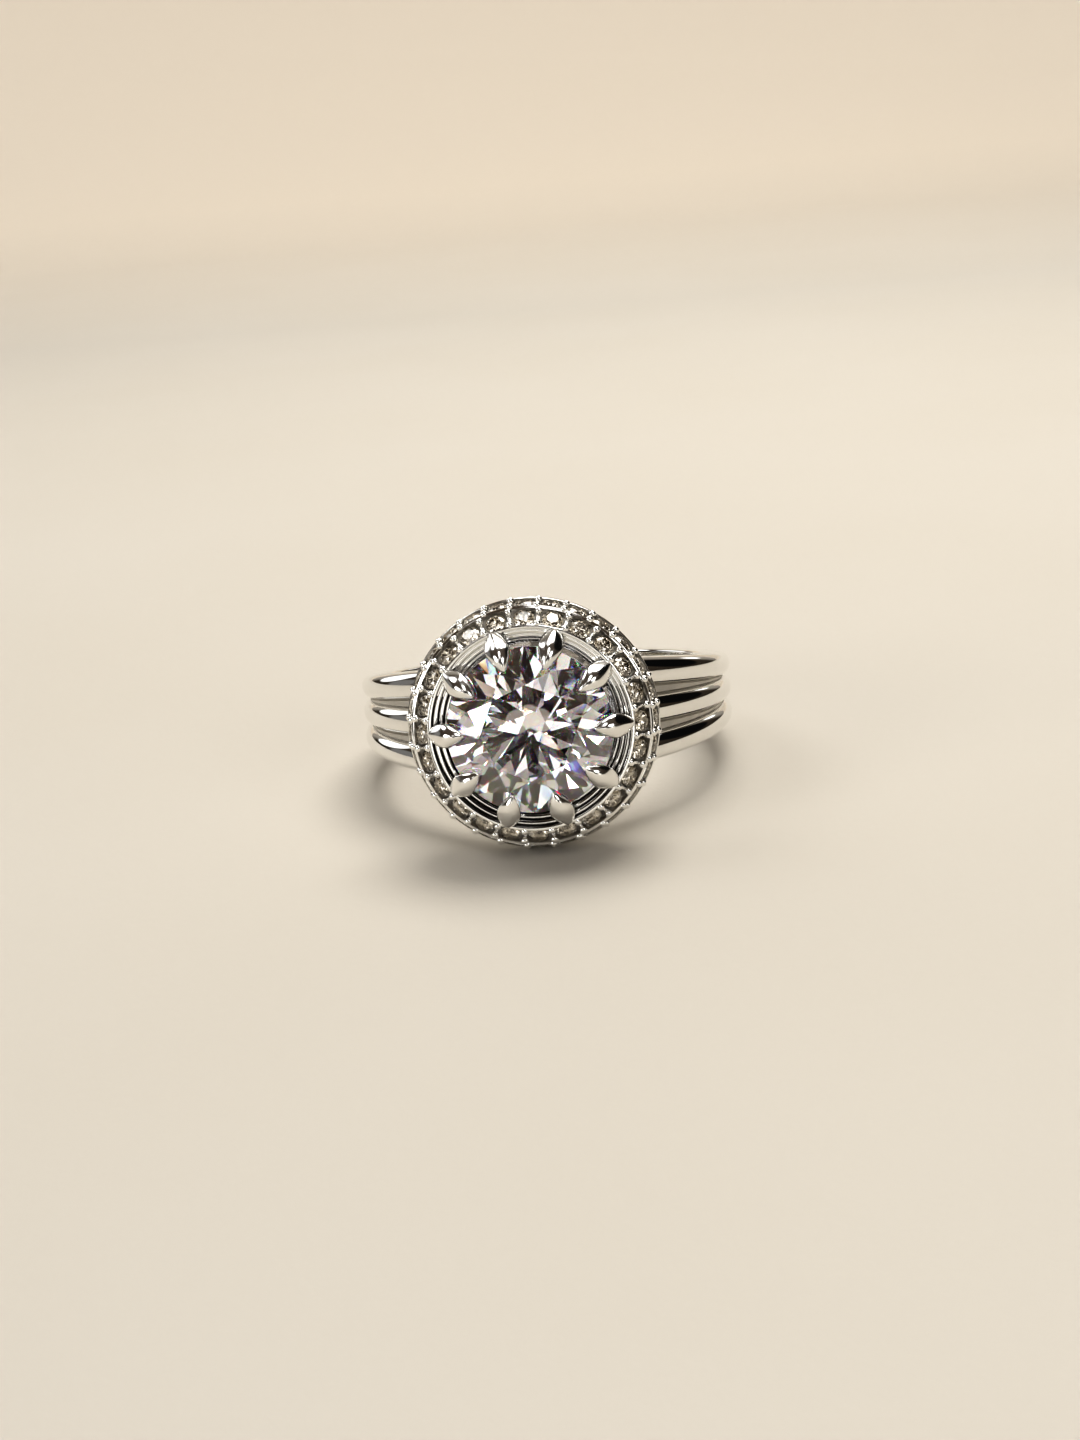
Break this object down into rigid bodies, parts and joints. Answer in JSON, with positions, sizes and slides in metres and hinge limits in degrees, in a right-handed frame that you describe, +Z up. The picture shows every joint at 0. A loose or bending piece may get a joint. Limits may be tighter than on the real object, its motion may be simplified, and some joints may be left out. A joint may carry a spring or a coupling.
{
  "type": "engagement ring",
  "caption": "Halo engagement ring: round brilliant in leaf claws, a halo of two stone rows and a band of three rounded ribs.",
  "frame": {"origin": "on the surface the ring lies on, below the middle of its box", "axes": "-Y is the way the head and its centre stone face, tipped up by the rest angle; +X is the ring's right side seen from the front; +Z is up, with the ring lying on its side"},
  "size_m": [0.0202, 0.0242, 0.0122],
  "materials": {
    "silver": "925 silver with a polished rhodium plating",
    "moissanite": "colourless moissanite, brilliant cut and polished",
    "small_stones": "colourless small round stones, brilliant cut and polished"
  },
  "bodies": {
    "root": {"mounting": "silver", "centre_stone": "moissanite", "side_stones": "small_stones", "halo_stone_01": "small_stones", "halo_stone_02": "small_stones", "halo_stone_03": "small_stones", "halo_stone_04": "small_stones", "halo_stone_05": "small_stones", "halo_stone_06": "small_stones", "halo_stone_07": "small_stones", "halo_stone_08": "small_stones", "halo_stone_09": "small_stones", "halo_stone_10": "small_stones", "halo_stone_11": "small_stones", "halo_stone_12": "small_stones", "halo_stone_13": "small_stones", "halo_stone_14": "small_stones", "halo_stone_15": "small_stones", "halo_stone_16": "small_stones", "halo_stone_17": "small_stones", "halo_stone_18": "small_stones", "halo_stone_19": "small_stones", "halo_stone_20": "small_stones", "halo_stone_21": "small_stones", "halo_stone_22": "small_stones", "halo_stone_23": "small_stones", "halo_stone_24": "small_stones"}
  },
  "joints": []
}
